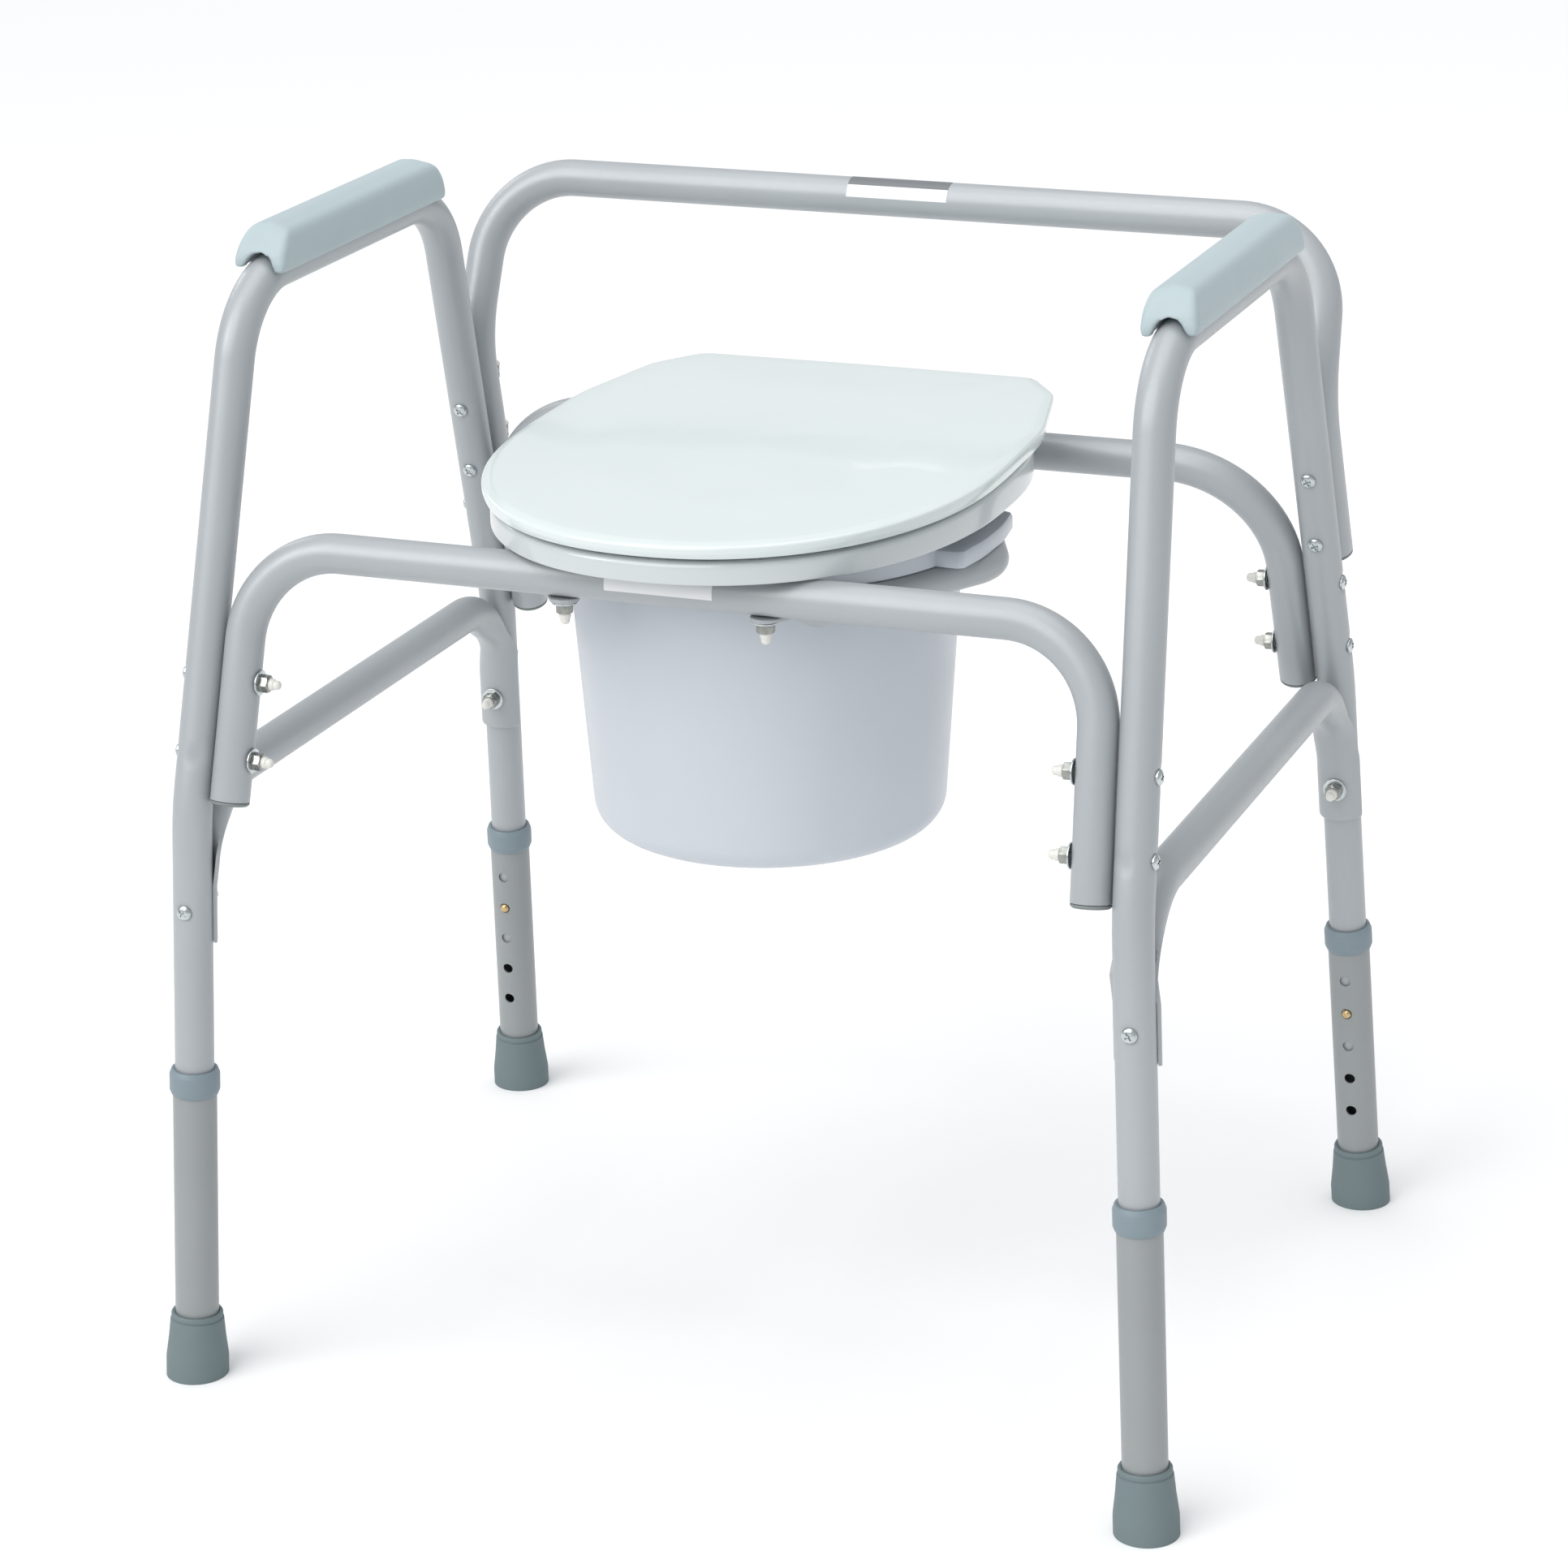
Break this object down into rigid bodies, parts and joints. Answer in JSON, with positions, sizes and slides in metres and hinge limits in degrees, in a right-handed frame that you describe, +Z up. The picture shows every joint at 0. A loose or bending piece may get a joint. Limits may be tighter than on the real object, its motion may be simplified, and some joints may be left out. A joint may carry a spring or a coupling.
{
  "type": "commode chair",
  "caption": "Free-standing commode chair: bent-tube arms and back bar, hinged seat and lid over a lift-out pail, and push-button leg extensions with rubber tips.",
  "frame": {"origin": "on the floor, at the middle of the four leg tips", "axes": "+Z up, -Y towards the front of the seat, +X to the right as seen by someone standing in front of it"},
  "size_m": [0.6976, 0.5565, 0.7472],
  "materials": {
    "frame_paint": "silver-grey powder coat",
    "extension_paint": "grey satin powder coat",
    "collar_plastic": "satin blue-grey",
    "tip_rubber": "matt blue-grey rubber",
    "pad_foam": "smooth blue-grey moulding",
    "seat_plastic": "glossy white",
    "pail_plastic": "semi-gloss pale grey",
    "zinc": "bright zinc plate",
    "button_brass": "dull brass",
    "plug_plastic": "satin dark grey"
  },
  "bodies": {
    "frame": {"left_side_frame": "frame_paint", "right_side_frame": "frame_paint", "front_crossbar": "frame_paint", "rear_crossbar": "frame_paint", "back_bar": "frame_paint", "left_side_brace": "frame_paint", "right_side_brace": "frame_paint", "left_pail_rail": "frame_paint", "right_pail_rail": "frame_paint", "front_crossbar_plug_left": "plug_plastic", "front_crossbar_plug_right": "plug_plastic", "rear_crossbar_plug_left": "plug_plastic", "rear_crossbar_plug_right": "plug_plastic", "back_bar_plug_left": "plug_plastic", "back_bar_plug_right": "plug_plastic", "left_arm_pad": "pad_foam", "right_arm_pad": "pad_foam", "front_crossbar_bolt_left_upper": "zinc", "front_crossbar_bolt_left_lower": "zinc", "front_crossbar_bolt_right_upper": "zinc", "front_crossbar_bolt_right_lower": "zinc", "rear_crossbar_bolt_left_upper": "zinc", "rear_crossbar_bolt_left_lower": "zinc", "rear_crossbar_bolt_right_upper": "zinc", "rear_crossbar_bolt_right_lower": "zinc", "back_bar_bolt_left_upper": "zinc", "back_bar_bolt_left_lower": "zinc", "back_bar_bolt_right_upper": "zinc", "back_bar_bolt_right_lower": "zinc", "front_brace_bolt_left": "zinc", "front_brace_bolt_right": "zinc", "rear_brace_bolt_left": "zinc", "rear_brace_bolt_right": "zinc", "front_rail_bolt_left": "zinc", "front_rail_bolt_right": "zinc", "rear_rail_bolt_left": "zinc", "rear_rail_bolt_right": "zinc"},
    "seat": {"seat_ring": "seat_plastic"},
    "lid": {"seat_lid": "seat_plastic"},
    "pail": {"pail": "pail_plastic"},
    "leg_front_left": {"leg_extension_front_left": "extension_paint", "leg_collar_front_left": "collar_plastic", "rubber_tip_front_left": "tip_rubber"},
    "button_front_left": {"snap_button_front_left": "button_brass"},
    "leg_front_right": {"leg_extension_front_right": "extension_paint", "leg_collar_front_right": "collar_plastic", "rubber_tip_front_right": "tip_rubber"},
    "button_front_right": {"snap_button_front_right": "button_brass"},
    "leg_rear_left": {"leg_extension_rear_left": "extension_paint", "leg_collar_rear_left": "collar_plastic", "rubber_tip_rear_left": "tip_rubber"},
    "button_rear_left": {"snap_button_rear_left": "button_brass"},
    "leg_rear_right": {"leg_extension_rear_right": "extension_paint", "leg_collar_rear_right": "collar_plastic", "rubber_tip_rear_right": "tip_rubber"},
    "button_rear_right": {"snap_button_rear_right": "button_brass"}
  },
  "joints": [
    {"name": "seat_hinge", "type": "hinge", "parent": "frame", "child": "seat", "pos_m": [0, 0.16932, 0.556], "axis": [-1, 0, 0], "range_deg": [0, 83]},
    {"name": "lid_hinge", "type": "hinge", "parent": "seat", "child": "lid", "pos_m": [0, 0.16932, 0.556], "axis": [1, 0, 0], "range_deg": [-83, 0]},
    {"name": "pail_lift", "type": "slide", "parent": "frame", "child": "pail", "axis": [0, 0, 1], "range_m": [0, 0.004]},
    {"name": "leg_slide_front_left", "type": "slide", "parent": "frame", "child": "leg_front_left", "axis": [-0.0399, -0.0367, -0.9985], "range_m": [-0.0762, 0.0254], "deforming": ["snap_button_front_left"]},
    {"name": "button_press_front_left", "type": "slide", "parent": "frame", "child": "button_front_left", "axis": [-0.0015, 0.9993, -0.0367], "range_m": [-0.0045, 0], "stiffness_N_per_m": 1000},
    {"name": "leg_slide_front_right", "type": "slide", "parent": "frame", "child": "leg_front_right", "axis": [0.0399, -0.0367, -0.9985], "range_m": [-0.0762, 0.0254], "deforming": ["snap_button_front_right"]},
    {"name": "button_press_front_right", "type": "slide", "parent": "frame", "child": "button_front_right", "axis": [0.0015, 0.9993, -0.0367], "range_m": [-0.0045, 0], "stiffness_N_per_m": 1000},
    {"name": "leg_slide_rear_left", "type": "slide", "parent": "frame", "child": "leg_rear_left", "axis": [-0.0398, 0.1004, -0.9942], "range_m": [-0.0762, 0.0254], "deforming": ["snap_button_rear_left"]},
    {"name": "button_press_rear_left", "type": "slide", "parent": "frame", "child": "button_rear_left", "axis": [-0.004, -0.9949, -0.1003], "range_m": [-0.0045, 0], "stiffness_N_per_m": 1000},
    {"name": "leg_slide_rear_right", "type": "slide", "parent": "frame", "child": "leg_rear_right", "axis": [0.0398, 0.1004, -0.9942], "range_m": [-0.0762, 0.0254], "deforming": ["snap_button_rear_right"]},
    {"name": "button_press_rear_right", "type": "slide", "parent": "frame", "child": "button_rear_right", "axis": [0.004, -0.9949, -0.1003], "range_m": [-0.0045, 0], "stiffness_N_per_m": 1000}
  ]
}
